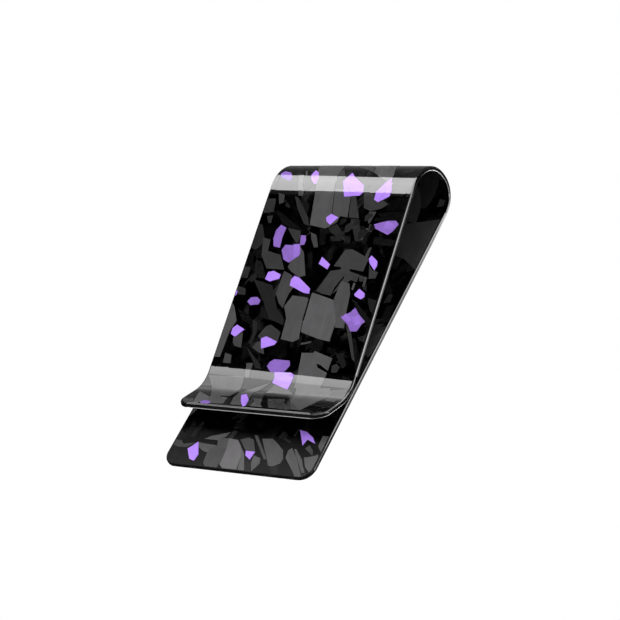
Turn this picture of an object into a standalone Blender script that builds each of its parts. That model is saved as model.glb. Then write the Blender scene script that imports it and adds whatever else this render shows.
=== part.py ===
"""Money clip: one springy strip of forged carbon with a clear resin skin on each face.

Row frame, in metres: +X across the strip, +Y from the open mouth to the folded bow, +Z up from
the back leg. The back leg's outer face rests on z = 0, and the origin is under the middle of the
whole clip. The strip is one moulding, so it flexes instead of pivoting. It is split here at the
four places in the bow where that bending is lumped into a hinge.
"""

import math

import bmesh
import bpy
from mathutils import Vector

# The strip.
WIDTH = 0.025
THICKNESS = 0.0007
CORNER_RADIUS = 0.0021

# The strip's centreline, section by section, from the end of the back leg to the end of the lip.
# Radii belong to the centreline, and a positive turn rolls the strip up and back over itself.
BACK_LENGTH = 0.0501
LOWER_BOW_RADIUS = 0.0035
LOWER_BOW_TURN = math.radians(90)
UPPER_BOW_RADIUS = 0.0060
UPPER_BOW_TURN = math.radians(105.5)
FRONT_LENGTH = 0.0306
LIP_CURVE_RADIUS = 0.0060
LIP_CURVE_TURN = math.radians(-43)
LIP_LENGTH = 0.0049

# The layers: a resin skin on each face of the carbon, with a hair of room between the solids.
SKIN_THICKNESS = 0.0001
SKIN_GAP = 0.00002

# The flexures: the cut between two elements, and where the cuts stand along the bow.
FLEXURE_GAP = 0.0001
FLEXURE_COUNT = 4

# Facets of the curved stretches and of the rounded corners.
ARC_STEP = math.radians(4)
CORNER_SEGMENTS = 8

BOW_START = BACK_LENGTH
BOW_LENGTH = LOWER_BOW_RADIUS * LOWER_BOW_TURN + UPPER_BOW_RADIUS * UPPER_BOW_TURN
LIP_CURVE_LENGTH = LIP_CURVE_RADIUS * abs(LIP_CURVE_TURN)
STRIP_LENGTH = BACK_LENGTH + BOW_LENGTH + FRONT_LENGTH + LIP_CURVE_LENGTH + LIP_LENGTH
OVERALL_LENGTH = BACK_LENGTH + LOWER_BOW_RADIUS + THICKNESS / 2

# Each section of the centreline: its length and how far it turns.
SECTIONS = [
    (BACK_LENGTH, 0.0),
    (LOWER_BOW_RADIUS * LOWER_BOW_TURN, LOWER_BOW_TURN),
    (UPPER_BOW_RADIUS * UPPER_BOW_TURN, UPPER_BOW_TURN),
    (FRONT_LENGTH, 0.0),
    (LIP_CURVE_LENGTH, LIP_CURVE_TURN),
    (LIP_LENGTH, 0.0),
]

# The bodies in order along the strip. Every one but the first hangs on a flexure.
BODIES = ["back_leg", "lower_bow", "middle_bow", "upper_bow", "front_leg"]


def clear_scene():
    for item in list(bpy.data.objects):
        bpy.data.objects.remove(item, do_unlink=True)


def new_collection(name):
    collection = bpy.data.collections.new(name)
    bpy.context.scene.collection.children.link(collection)
    return collection


def principled(name, colour, roughness, alpha=1.0, coat=0.0):
    material = bpy.data.materials.new(name)
    material.use_nodes = True
    shader = material.node_tree.nodes["Principled BSDF"]
    shader.inputs["Base Color"].default_value = (*colour, 1.0)
    shader.inputs["Metallic"].default_value = 0.0
    shader.inputs["Roughness"].default_value = roughness
    shader.inputs["Alpha"].default_value = alpha
    shader.inputs["Coat Weight"].default_value = coat
    return material


def carbon_material():
    return principled("forged_carbon", (0.022, 0.022, 0.025), 0.35, coat=1.0)


def resin_material():
    return principled("clear_resin", (0.055, 0.05, 0.06), 0.08, alpha=0.35)


def centreline(distance):
    """The centreline's (y, z) and heading, a given distance along the strip."""
    y = -OVERALL_LENGTH / 2
    z = THICKNESS / 2
    heading = 0.0
    for length, turn in SECTIONS:
        part = min(max(distance, 0.0), length) / length
        if turn == 0.0:
            y += part * length * math.cos(heading)
            z += part * length * math.sin(heading)
        else:
            radius = length / turn
            end_heading = heading + part * turn
            y += radius * (math.sin(end_heading) - math.sin(heading))
            z -= radius * (math.cos(end_heading) - math.cos(heading))
            heading = end_heading
        distance -= length
        if distance <= 0.0:
            break
    return y, z, heading


def surface_point(distance, height):
    """A profile point at a height above the centreline, towards the clip's outside."""
    y, z, heading = centreline(distance)
    return y + height * math.sin(heading), z - height * math.cos(heading)


def stations(start, end):
    """The distances where the profile needs a point: both ends, section joints and arc steps."""
    marks = [start]
    passed = 0.0
    for length, turn in SECTIONS:
        steps = max(1, math.ceil(abs(turn) / ARC_STEP))
        for step in range(steps):
            mark = passed + length * step / steps
            if start + FLEXURE_GAP < mark < end - FLEXURE_GAP:
                marks.append(mark)
        passed += length
    marks.append(end)
    return marks


def flexure_distance(index):
    """How far along the strip a flexure stands, in the middle of its equal share of the bow."""
    return BOW_START + BOW_LENGTH * (index + 0.5) / FLEXURE_COUNT


def body_span(index):
    """The stretch of strip that one body covers, half a cut short of each flexure."""
    start = 0.0
    end = STRIP_LENGTH
    if index > 0:
        start = flexure_distance(index - 1) + FLEXURE_GAP / 2
    if index < FLEXURE_COUNT:
        end = flexure_distance(index) - FLEXURE_GAP / 2
    return start, end


def profile_curve(name, start, end, low, high):
    """A closed side outline between two heights, thickened across the strip's width."""
    marks = stations(start, end)
    outline = [surface_point(mark, high) for mark in marks]
    outline += [surface_point(mark, low) for mark in reversed(marks)]
    curve = bpy.data.curves.new(name, "CURVE")
    curve.dimensions = "2D"
    curve.fill_mode = "BOTH"
    curve.extrude = WIDTH / 2
    spline = curve.splines.new("POLY")
    spline.points.add(len(outline) - 1)
    for point, (y, z) in zip(spline.points, outline):
        point.co = (y, z, 0.0, 1.0)
    spline.use_cyclic_u = True
    return curve


def strip_mesh(name, start, end, low, high):
    """The outline as a welded mesh, turned so that its width runs along X."""
    source = bpy.data.objects.new(name + "_outline", profile_curve(name, start, end, low, high))
    source.rotation_euler = (math.pi / 2, 0.0, math.pi / 2)
    bpy.context.scene.collection.objects.link(source)
    bpy.context.view_layer.update()
    evaluated = source.evaluated_get(bpy.context.evaluated_depsgraph_get())
    mesh = bpy.data.meshes.new_from_object(evaluated)
    mesh.name = name
    mesh.transform(source.matrix_world)
    curve = source.data
    bpy.data.objects.remove(source, do_unlink=True)
    bpy.data.curves.remove(curve)
    work = bmesh.new()
    work.from_mesh(mesh)
    bmesh.ops.remove_doubles(work, verts=work.verts, dist=1e-7)
    flat_angle = math.radians(0.1)
    bmesh.ops.dissolve_limit(work, angle_limit=flat_angle, verts=work.verts, edges=work.edges)
    bmesh.ops.recalc_face_normals(work, faces=work.faces)
    work.to_mesh(mesh)
    work.free()
    return mesh


def round_end_corners(item, distance):
    """Rounds the two corners of a free end, seen square to the strip's face."""
    y, z, heading = centreline(distance)
    end = Vector((0.0, y, z))
    along = Vector((0.0, math.cos(heading), math.sin(heading)))
    mesh = item.data
    weights = mesh.attributes.new("bevel_weight_edge", "FLOAT", "EDGE")
    for edge in mesh.edges:
        ends = [mesh.vertices[index].co for index in edge.vertices]
        on_end = all(abs((point - end).dot(along)) < 1e-6 for point in ends)
        down_the_side = abs(ends[0].x - ends[1].x) < 1e-6
        if on_end and down_the_side:
            weights.data[edge.index].value = 1.0
    bevel = item.modifiers.new("rounded_corners", "BEVEL")
    bevel.limit_method = "WEIGHT"
    bevel.width = CORNER_RADIUS
    bevel.segments = CORNER_SEGMENTS


def layers():
    """Each layer of the strip: its name, its lowest and highest height, and its material."""
    half = THICKNESS / 2
    core_half = half - SKIN_THICKNESS - SKIN_GAP
    carbon = carbon_material()
    resin = resin_material()
    return [
        ("core", -core_half, core_half, carbon),
        ("outer_skin", half - SKIN_THICKNESS, half, resin),
        ("inner_skin", -half, SKIN_THICKNESS - half, resin),
    ]


def flexure(index, collection):
    """An empty on the bending axis, on the centreline across the strip."""
    y, z, _ = centreline(flexure_distance(index))
    pivot = bpy.data.objects.new(BODIES[index + 1] + "_flexure", None)
    pivot.empty_display_size = THICKNESS
    pivot.location = (0.0, y, z)
    collection.objects.link(pivot)
    return pivot


def add_body(index, pivot, strip_layers, collection):
    """One body's layers, held by its flexure's empty."""
    start, end = body_span(index)
    for layer, low, high, material in strip_layers:
        name = BODIES[index] + "_" + layer
        item = bpy.data.objects.new(name, strip_mesh(name, start, end, low, high))
        item.data.materials.append(material)
        collection.objects.link(item)
        if index == 0:
            round_end_corners(item, 0.0)
        if index == FLEXURE_COUNT:
            round_end_corners(item, STRIP_LENGTH)
        item.data.shade_smooth()
        item.data.set_sharp_from_angle(angle=math.radians(30))
        if pivot is not None:
            item.parent = pivot
            item.matrix_parent_inverse = pivot.matrix_world.inverted()


def build():
    clear_scene()
    collection = new_collection("money_clip")
    strip_layers = layers()
    pivots = [None]
    for index in range(FLEXURE_COUNT):
        pivots.append(flexure(index, collection))
    bpy.context.view_layer.update()
    for index, pivot in enumerate(pivots):
        add_body(index, pivot, strip_layers, collection)
    for upper, lower in zip(pivots[2:], pivots[1:]):
        upper.parent = lower
        upper.matrix_parent_inverse = lower.matrix_world.inverted()


build()
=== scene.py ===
"""The looks of a forged-carbon money clip: one bent strip of glossy black carbon with chopped grey
tow chips and violet flakes set into its faces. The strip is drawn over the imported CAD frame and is
cut where the frame's flexures bend.

Strip coordinates are in millimetres: x runs across the strip, "along" is the distance from the end
of the back leg, and height is measured from the centreline towards the clip's outside.
"""

import math
import random

import bmesh
import bpy
from mathutils import Matrix, Vector
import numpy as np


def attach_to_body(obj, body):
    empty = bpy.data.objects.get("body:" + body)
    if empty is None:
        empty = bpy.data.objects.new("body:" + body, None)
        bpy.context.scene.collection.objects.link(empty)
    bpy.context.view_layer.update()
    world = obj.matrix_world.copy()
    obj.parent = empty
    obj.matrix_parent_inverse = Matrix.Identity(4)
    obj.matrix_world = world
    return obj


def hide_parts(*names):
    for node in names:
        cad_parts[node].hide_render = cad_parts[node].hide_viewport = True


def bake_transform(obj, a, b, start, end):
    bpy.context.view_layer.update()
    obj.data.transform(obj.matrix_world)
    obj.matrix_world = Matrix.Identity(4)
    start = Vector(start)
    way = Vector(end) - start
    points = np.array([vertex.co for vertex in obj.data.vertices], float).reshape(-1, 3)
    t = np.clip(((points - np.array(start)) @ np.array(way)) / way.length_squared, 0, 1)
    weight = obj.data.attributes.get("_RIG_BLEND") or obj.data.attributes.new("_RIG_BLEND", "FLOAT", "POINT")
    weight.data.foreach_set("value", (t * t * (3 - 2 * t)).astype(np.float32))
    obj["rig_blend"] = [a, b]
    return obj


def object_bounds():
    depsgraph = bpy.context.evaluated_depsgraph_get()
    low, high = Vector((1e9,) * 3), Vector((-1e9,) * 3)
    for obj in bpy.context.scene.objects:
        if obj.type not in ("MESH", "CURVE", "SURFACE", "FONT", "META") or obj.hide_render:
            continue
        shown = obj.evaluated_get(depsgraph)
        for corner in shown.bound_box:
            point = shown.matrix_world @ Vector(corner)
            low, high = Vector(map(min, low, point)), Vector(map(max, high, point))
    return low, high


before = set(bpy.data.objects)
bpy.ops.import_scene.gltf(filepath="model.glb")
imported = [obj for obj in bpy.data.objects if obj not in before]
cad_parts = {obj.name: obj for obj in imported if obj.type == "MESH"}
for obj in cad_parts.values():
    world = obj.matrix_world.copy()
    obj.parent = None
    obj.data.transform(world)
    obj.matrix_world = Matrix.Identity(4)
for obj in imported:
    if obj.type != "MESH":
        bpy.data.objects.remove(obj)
CAD_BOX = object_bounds()

MM = 0.001

# The strip, as in the CAD model.
WIDTH = 25.0
THICKNESS = 0.7
HALF = THICKNESS / 2
CORNER_RADIUS = 2.1
OUTER_FILLET = 0.28
INNER_FILLET = 0.18
BACK_LENGTH = 50.1
FRONT_LENGTH = 30.6
LIP_LENGTH = 4.9
LOWER_BOW = (3.5, math.radians(90))
UPPER_BOW = (6.0, math.radians(105.5))
LIP_CURVE = (6.0, math.radians(-43))

# Each section of the centreline: its length and how far it turns.
SECTIONS = [(BACK_LENGTH, 0.0)]
SECTIONS += [(radius * abs(turn), turn) for radius, turn in (LOWER_BOW, UPPER_BOW)]
SECTIONS += [(FRONT_LENGTH, 0.0)]
SECTIONS += [(LIP_CURVE[0] * abs(LIP_CURVE[1]), LIP_CURVE[1])]
SECTIONS += [(LIP_LENGTH, 0.0)]
STRIP_LENGTH = sum(length for length, _ in SECTIONS)
BOW_START = BACK_LENGTH
BOW_LENGTH = SECTIONS[1][0] + SECTIONS[2][0]
BOW_END = BOW_START + BOW_LENGTH
LIP_START = BOW_END + FRONT_LENGTH
START_Y = CAD_BOX[0].y / MM

# Where the drawn front leg is cut from the bow's last part and from the lip.
FRONT_CUT = BOW_END + 1.35
LIP_CUT = LIP_START - 0.85

# How finely the strip is drawn.
ARC_STEP = math.radians(2)
FLAT_STEP = 1.5
COLUMNS = 16
CORNER_STEPS = 8
FILLET_STEPS = 5
MARK_MARGIN = 0.02

# The resin softens each bend: normals ease over this much strip to either side.
EASE_REACH = 1.2
EASE_STEPS = 4

# The two faces of the strip.
OUTER = 1
INNER = -1

# Strip coordinates are kept as a UV layer: millimetres over this scale, with the inner face shifted.
UV_SCALE = 100.0
INNER_UV_SHIFT = 0.5

SEED = 20


# Strip coordinates


def centreline(along):
    """The centreline's (y, z) and heading at a distance along the strip."""
    y = START_Y
    z = HALF
    heading = 0.0
    for length, turn in SECTIONS:
        part = min(max(along, 0.0), length) / length
        if turn == 0.0:
            y += part * length * math.cos(heading)
            z += part * length * math.sin(heading)
        else:
            radius = length / turn
            end_heading = heading + part * turn
            y += radius * (math.sin(end_heading) - math.sin(heading))
            z -= radius * (math.cos(end_heading) - math.cos(heading))
            heading = end_heading
        along -= length
        if along <= 0.0:
            break
    return y, z, heading


def eased_heading(along):
    """The heading averaged over a short stretch, for normals that turn smoothly into each bend."""
    reach = min(EASE_REACH, along, STRIP_LENGTH - along)
    steps = range(-EASE_STEPS, EASE_STEPS + 1)
    return sum(centreline(along + reach * step / EASE_STEPS)[2] for step in steps) / len(steps)


def outward(along):
    """The direction of the clip's outside."""
    heading = eased_heading(along)
    return Vector((0.0, math.sin(heading), -math.cos(heading)))


def forward(along):
    """The direction in which the strip runs."""
    heading = eased_heading(along)
    return Vector((0.0, math.cos(heading), math.sin(heading)))


def place(x, along, height):
    """A point of the strip in the frame, in metres."""
    y, z, heading = centreline(along)
    point = Vector((x, y + height * math.sin(heading), z - height * math.cos(heading)))
    return point * MM


def section_marks():
    """Distances along the whole strip where its facets start and end."""
    marks = []
    passed = 0.0
    for length, turn in SECTIONS:
        steps = math.ceil(abs(turn) / ARC_STEP) if turn else math.ceil(length / FLAT_STEP)
        marks += [passed + length * step / steps for step in range(steps)]
        passed += length
    marks.append(passed)
    marks += [BOW_START + BOW_LENGTH * step / 4 for step in range(1, 4)]
    marks += [FRONT_CUT, LIP_CUT]
    return sorted(marks)


MARKS = section_marks()


def marks_between(start, end):
    """The marks inside a stretch of strip, with the stretch's own ends."""
    inside = [mark for mark in MARKS if start + MARK_MARGIN < mark < end - MARK_MARGIN]
    return [start, *inside, end]


# The strip's body


class Row:
    """One row of the face grid. A free end's rows follow its rounded corners, and angle says how
    far round: 0 on the end, a quarter turn on the straight side. End is -1, 1 or 0 for neither."""

    def __init__(self, along, angle=math.pi / 2, end=0):
        self.along = along
        self.angle = angle
        self.end = end

    def border(self, inset):
        """The row's half length and its distance along the strip, at an inset from the border."""
        radius = CORNER_RADIUS - inset
        reach = WIDTH / 2 - CORNER_RADIUS + radius * math.sin(self.angle)
        if self.end == 0:
            return reach, self.along
        depth = CORNER_RADIUS - radius * math.cos(self.angle)
        return reach, depth if self.end < 0 else STRIP_LENGTH - depth


def strip_rows(start, end):
    """Rows of the face grid, in order along the strip."""
    angles = [math.pi / 2 * step / CORNER_STEPS for step in range(CORNER_STEPS)]
    head = []
    tail = []
    first = start
    last = end
    if start == 0.0:
        head = [Row(0.0, angle, -1) for angle in angles]
        first = CORNER_RADIUS
    if end == STRIP_LENGTH:
        tail = [Row(0.0, angle, 1) for angle in reversed(angles)]
        last = STRIP_LENGTH - CORNER_RADIUS
    return head + [Row(mark) for mark in marks_between(first, last)] + tail


def rim_profile():
    """The rounded edge from the outer face to the inner: inset, height and normal's angle."""
    profile = []
    for side, radius in ((OUTER, OUTER_FILLET), (INNER, INNER_FILLET)):
        first = 0.0 if side == OUTER else math.pi / 2
        for step in range(FILLET_STEPS + 1):
            angle = first + math.pi / 2 * step / FILLET_STEPS
            height = side * (HALF - radius) + radius * math.cos(angle)
            profile.append((radius * (1 - math.sin(angle)), height, angle))
    return profile


def rim_chains(rows):
    """The face grid's open border as chains of (row, column)."""
    last = len(rows) - 1
    left = [(row, 0) for row in range(len(rows))]
    right = [(row, COLUMNS) for row in range(len(rows))]
    if rows[0].end:
        across = [(0, column) for column in range(1, COLUMNS)]
        return [left[::-1] + across + right]
    if rows[last].end:
        across = [(last, column) for column in range(1, COLUMNS)]
        return [left + across + right[::-1]]
    return [left, right]


class StripBuilder:
    """Collects vertices with their own normals and strip coordinates."""

    def __init__(self):
        self.mesh = bmesh.new()
        self.normals = []
        self.plan = []

    def vertex(self, x, along, height, normal, side):
        """A new vertex at strip coordinates."""
        point = self.mesh.verts.new(place(x, along, height))
        shift = INNER_UV_SHIFT if side == INNER else 0.0
        self.normals.append(normal)
        self.plan.append((x / UV_SCALE + shift, along / UV_SCALE))
        return point


def face_grid(builder, rows, side):
    """The flat of one face, up to where its edges start to round."""
    inset = OUTER_FILLET if side == OUTER else INNER_FILLET
    grid = []
    for row in rows:
        reach, along = row.border(inset)
        line = []
        for column in range(COLUMNS + 1):
            x = reach * (2 * column / COLUMNS - 1)
            line.append(builder.vertex(x, along, side * HALF, outward(along) * side, side))
        grid.append(line)
    for lower, upper in zip(grid, grid[1:]):
        for column in range(COLUMNS):
            corners = (lower[column], lower[column + 1], upper[column + 1], upper[column])
            builder.mesh.faces.new(corners)
    return grid


def rim_line(builder, rows, outer, inner, row, column):
    """The vertices over one edge, from the outer face's border to the inner face's."""
    on_end = 0 < column < COLUMNS
    sideways = 0.0 if on_end else math.sin(rows[row].angle) * (1 if column else -1)
    endways = rows[row].end * (1.0 if on_end else math.cos(rows[row].angle))
    line = [outer[row][column]]
    for inset, height, angle in rim_profile()[1:-1]:
        reach, along = rows[row].border(inset)
        x = reach * (2 * column / COLUMNS - 1)
        plane = Vector((sideways, 0.0, 0.0)) + forward(along) * endways
        normal = plane * math.sin(angle) + outward(along) * math.cos(angle)
        line.append(builder.vertex(x, along, height, normal, OUTER))
    line.append(inner[row][column])
    return line


def strip_mesh(name, start, end):
    """A closed stretch of strip with rounded edges. Its rims take the second material."""
    builder = StripBuilder()
    rows = strip_rows(start, end)
    outer = face_grid(builder, rows, OUTER)
    inner = face_grid(builder, rows, INNER)
    lines = {}
    for chain in rim_chains(rows):
        for key in chain:
            lines[key] = rim_line(builder, rows, outer, inner, *key)
        for here, there in zip(chain, chain[1:]):
            for step in range(len(lines[here]) - 1):
                corners = (lines[here][step], lines[there][step])
                corners += (lines[there][step + 1], lines[here][step + 1])
                builder.mesh.faces.new(corners).material_index = 1
    caps = []
    for row, sign in ((0, -1), (len(rows) - 1, 1)):
        if not rows[row].end:
            ring = outer[row] + lines[(row, COLUMNS)][1:-1]
            ring += inner[row][::-1] + lines[(row, 0)][1:-1][::-1]
            caps.append((builder.mesh.faces.new(ring), rows[row].along, sign))
    return finish_mesh(name, builder, caps)


def finish_mesh(name, builder, caps):
    """Turns the collected faces into a mesh with exact normals and strip coordinates."""
    work = builder.mesh
    work.verts.index_update()
    work.faces.index_update()
    cap_normals = {face.index: forward(along) * sign for face, along, sign in caps}
    bmesh.ops.recalc_face_normals(work, faces=work.faces)
    mesh = bpy.data.meshes.new(name)
    work.to_mesh(mesh)
    work.free()
    uv = mesh.uv_layers.new(name="strip").data
    normals = []
    for face in mesh.polygons:
        face.use_smooth = True
        for loop in face.loop_indices:
            vertex = mesh.loops[loop].vertex_index
            uv[loop].uv = builder.plan[vertex]
            normals.append(cap_normals.get(face.index, builder.normals[vertex]))
    mesh.normals_split_custom_set(normals)
    return mesh


# Chips and flakes: thin closed slabs laid on the strip's faces


# Millimetres: how deep a slab sinks into the strip, how much higher each slab of a pile stands, and
# how far all slabs stay from the strip's border.
SINK_DEPTH = 0.02
LEVEL_STEP = 0.002
FACE_INSET = OUTER_FILLET + 0.02

# The cutting tolerance, the shortest edge that cuts, and the smallest area that is kept.
CUT_TOLERANCE = 1e-6
SHORTEST_EDGE = 1e-9
SMALLEST_AREA = 1e-5

# Each slab's grain starts at its own place: these times its x and its distance along the strip.
GRAIN_SHIFT = (0.37, 0.61)


def face_outline():
    """The flat of a face, as a convex outline in strip coordinates."""
    radius = CORNER_RADIUS - FACE_INSET
    outline = []
    centre = WIDTH / 2 - CORNER_RADIUS
    for quarter, (side, end) in enumerate(((1, 0), (1, 1), (-1, 1), (-1, 0))):
        along = CORNER_RADIUS if end == 0 else STRIP_LENGTH - CORNER_RADIUS
        for step in range(CORNER_STEPS + 1):
            angle = math.pi / 2 * (quarter - 1 + step / CORNER_STEPS)
            point = (side * centre + radius * math.cos(angle), along + radius * math.sin(angle))
            outline.append(point)
    return outline


FACE_OUTLINE = face_outline()


def cut_plan(plan, point, normal, trim):
    """Cuts the flat plan along a line, and drops what lies in front of the line if it is to trim."""
    bmesh.ops.bisect_plane(
        plan,
        geom=plan.verts[:] + plan.edges[:] + plan.faces[:],
        dist=CUT_TOLERANCE,
        plane_co=(*point, 0.0),
        plane_no=(*normal, 0.0),
        clear_outer=trim,
    )


def plan_of(outline):
    """A flat outline trimmed to the face and split at the strip's facets."""
    plan = bmesh.new()
    plan.faces.new([plan.verts.new((x, along, 0.0)) for x, along in outline])
    low = min(along for _, along in outline)
    high = max(along for _, along in outline)
    wide = max(abs(x) for x, _ in outline)
    reach = WIDTH / 2 - CORNER_RADIUS
    ends = low < CORNER_RADIUS or high > STRIP_LENGTH - CORNER_RADIUS
    if wide > reach or ends:
        for here, there in zip(FACE_OUTLINE, FACE_OUTLINE[1:] + FACE_OUTLINE[:1]):
            edge = (there[0] - here[0], there[1] - here[1])
            if abs(edge[0]) + abs(edge[1]) > SHORTEST_EDGE and plan.faces:
                cut_plan(plan, here, (edge[1], -edge[0]), trim=True)
    for mark in MARKS:
        if low < mark < high and plan.faces:
            cut_plan(plan, (0.0, mark), (0.0, 1.0), trim=False)
    return plan


class Layer:
    """One kind of inlay on the whole strip: its pieces' name, its material slot and its slabs."""

    def __init__(self, name, slot):
        self.name = name
        self.slot = slot
        self.slabs = []


# Every slab laid so far: side, x, distance along the strip, radius and level.
PILE = []


def level_for(side, x, along, radius):
    """The lowest level that clears every slab already laid near this place."""
    level = 1
    for other_side, other_x, other_along, other_radius, other_level in PILE:
        near = math.hypot(x - other_x, along - other_along) < radius + other_radius
        if other_side == side and near:
            level = max(level, other_level + 1)
    PILE.append((side, x, along, radius, level))
    return level


def turned(points, x, along, turn):
    """Points of a shape's own outline, turned by degrees and placed on the strip."""
    cosine = math.cos(math.radians(turn))
    sine = math.sin(math.radians(turn))
    return [(x + u * cosine - v * sine, along + u * sine + v * cosine) for u, v in points]


def lay(layer, side, outline, turn, tone):
    """Lays one slab with its outline in strip coordinates and its fibres turned to run one way."""
    x = sum(point[0] for point in outline) / len(outline)
    along = sum(point[1] for point in outline) / len(outline)
    radius = max(math.hypot(u - x, v - along) for u, v in outline)
    level = level_for(side, x, along, radius)
    layer.slabs.append((side, outline, (x, along, turn), level, tone))


def add_slab(builder, slab, start, end):
    """The part of one slab that lies on a stretch of strip, as a closed thin solid."""
    side, outline, origin, level, tone = slab
    if max(along for _, along in outline) <= start or min(along for _, along in outline) >= end:
        return
    plan = plan_of(outline)
    faces = [face for face in plan.faces if start < face.calc_center_median().y < end]
    faces = [face for face in faces if face.calc_area() > SMALLEST_AREA]
    top = {}
    bottom = {}
    height = HALF + level * LEVEL_STEP
    for face in faces:
        for vertex in face.verts:
            if vertex not in top:
                x, along = vertex.co.x, vertex.co.y
                normal = outward(along) * side
                top[vertex] = builder.vertex(x, along, side * height, normal, side)
                bottom[vertex] = builder.vertex(x, along, side * (HALF - SINK_DEPTH), -normal, side)
    for face in faces:
        builder.add_face([top[vertex] for vertex in face.verts], None, origin, tone)
        builder.add_face([bottom[vertex] for vertex in reversed(face.verts)], None, origin, tone)
        for loop in face.loops:
            others = [other for other in loop.edge.link_faces if other is not face and other in faces]
            if not others:
                here, there = loop.vert, loop.link_loop_next.vert
                wall = (top[here], bottom[here], bottom[there], top[there])
                builder.add_face(wall, outward(here.co.y) * side, origin, tone)
    plan.free()


class InlayBuilder(StripBuilder):
    """A strip builder that also keeps each face's own normal, grain origin and tone."""

    def __init__(self):
        super().__init__()
        self.faces = []

    def add_face(self, vertices, normal, origin, tone):
        """A new face. A normal of None leaves the vertices' own."""
        self.mesh.faces.new(vertices)
        self.faces.append((normal, origin, tone))


def inlay_mesh(name, slabs, start, end):
    """All of a layer's slabs on one stretch of strip."""
    builder = InlayBuilder()
    for slab in slabs:
        add_slab(builder, slab, start, end)
    if not builder.faces:
        builder.mesh.free()
        return None
    work = builder.mesh
    work.verts.index_update()
    bmesh.ops.recalc_face_normals(work, faces=work.faces)
    mesh = bpy.data.meshes.new(name)
    work.to_mesh(mesh)
    work.free()
    mesh.uv_layers.new(name="strip")
    mesh.uv_layers.new(name="grain")
    mesh.attributes.new("tone", "FLOAT", "CORNER")
    uv = mesh.uv_layers["strip"].data
    grain = mesh.uv_layers["grain"].data
    tone_layer = mesh.attributes["tone"].data
    normals = []
    for face, (wall_normal, origin, tone) in zip(mesh.polygons, builder.faces):
        face.use_smooth = True
        for loop in face.loop_indices:
            vertex = mesh.loops[loop].vertex_index
            plan = builder.plan[vertex]
            uv[loop].uv = plan
            grain[loop].uv = grain_point(plan, origin)
            tone_layer[loop].value = tone
            normals.append(wall_normal or builder.normals[vertex])
    mesh.normals_split_custom_set(normals)
    return mesh


def grain_point(plan, origin):
    """Strip coordinates turned to run along one slab's fibres, with the slab's own shift."""
    x, along, turn = origin
    shift = INNER_UV_SHIFT if plan[0] > INNER_UV_SHIFT / 2 else 0.0
    across = (plan[0] - shift) * UV_SCALE - x
    length = plan[1] * UV_SCALE - along
    cosine = math.cos(math.radians(turn))
    sine = math.sin(math.radians(turn))
    u = across * cosine + length * sine
    v = length * cosine - across * sine
    return (u / UV_SCALE + GRAIN_SHIFT[0] * x, v / UV_SCALE + GRAIN_SHIFT[1] * along)


# Materials


# The clear resin's refractive index, and how much of it covers the flakes, which shine less.
RESIN_INDEX = 1.5
FLAKE_COAT = 0.75

# Colours that a grey value is multiplied into.
RESIN_TINT = (1.0, 0.98, 1.03)
TOW_TINT = (1.0, 0.97, 1.0)
VIOLET = (0.485, 0.262, 0.98)


def new_material(name):
    """A node material, its tree and its surface shader."""
    material = bpy.data.materials.new(name)
    material.use_nodes = True
    tree = material.node_tree
    return material, tree, tree.nodes["Principled BSDF"]


def add_node(tree, kind, **settings):
    """A shader node of a kind, with its settings."""
    made = tree.nodes.new("ShaderNode" + kind)
    for key, value in settings.items():
        setattr(made, key, value)
    return made


def math_node(tree, operation, first, second=None):
    """A sum, product or the like of numbers or of other nodes' outputs."""
    made = add_node(tree, "Math", operation=operation)
    for socket, value in zip(made.inputs, (first, second)):
        if value is None:
            continue
        if isinstance(value, (int, float)):
            socket.default_value = value
        else:
            tree.links.new(value, socket)
    return made.outputs[0]


def product(tree, first, second):
    """Two numbers or outputs multiplied."""
    return math_node(tree, "MULTIPLY", first, second)


def mapped_uv(tree, layer, turn, scale):
    """A UV layer in millimetres, turned and scaled."""
    source = add_node(tree, "UVMap", uv_map=layer)
    mapping = add_node(tree, "Mapping", vector_type="POINT")
    mapping.inputs["Rotation"].default_value = (0.0, 0.0, math.radians(turn))
    mapping.inputs["Scale"].default_value = (UV_SCALE, UV_SCALE, 1.0)
    tree.links.new(source.outputs[0], mapping.inputs[0])
    stretch = add_node(tree, "Mapping", vector_type="POINT")
    stretch.inputs["Scale"].default_value = (*scale, 1.0)
    tree.links.new(mapping.outputs[0], stretch.inputs[0])
    return stretch.outputs[0]


def noise(tree, vector, scale, detail=3.0, roughness=0.5, distortion=0.0):
    """A noise value from 0 to 1."""
    made = add_node(tree, "TexNoise")
    made.inputs["Scale"].default_value = scale
    made.inputs["Detail"].default_value = detail
    made.inputs["Roughness"].default_value = roughness
    made.inputs["Distortion"].default_value = distortion
    tree.links.new(vector, made.inputs["Vector"])
    return made.outputs[0]


def ramp(tree, value, low, high, to_low=0.0, to_high=1.0):
    """A value eased from one range to another."""
    made = add_node(tree, "MapRange", interpolation_type="SMOOTHSTEP")
    made.inputs["From Min"].default_value = low
    made.inputs["From Max"].default_value = high
    made.inputs["To Min"].default_value = to_low
    made.inputs["To Max"].default_value = to_high
    tree.links.new(value, made.inputs["Value"])
    return made.outputs[0]


def gloss_coat(shader, weight=1.0):
    """The clear resin over a material whose own surface is matt."""
    shader.inputs["Coat Weight"].default_value = weight
    shader.inputs["Coat Roughness"].default_value = 0.015
    shader.inputs["Coat IOR"].default_value = RESIN_INDEX
    shader.inputs["Specular IOR Level"].default_value = 0.02
    shader.inputs["Roughness"].default_value = 0.55


def tint(tree, value, colour):
    """A grey value multiplied into a colour."""
    made = add_node(tree, "VectorMath", operation="SCALE")
    made.inputs[0].default_value = colour
    tree.links.new(value, made.inputs["Scale"])
    return made.outputs[0]


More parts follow.
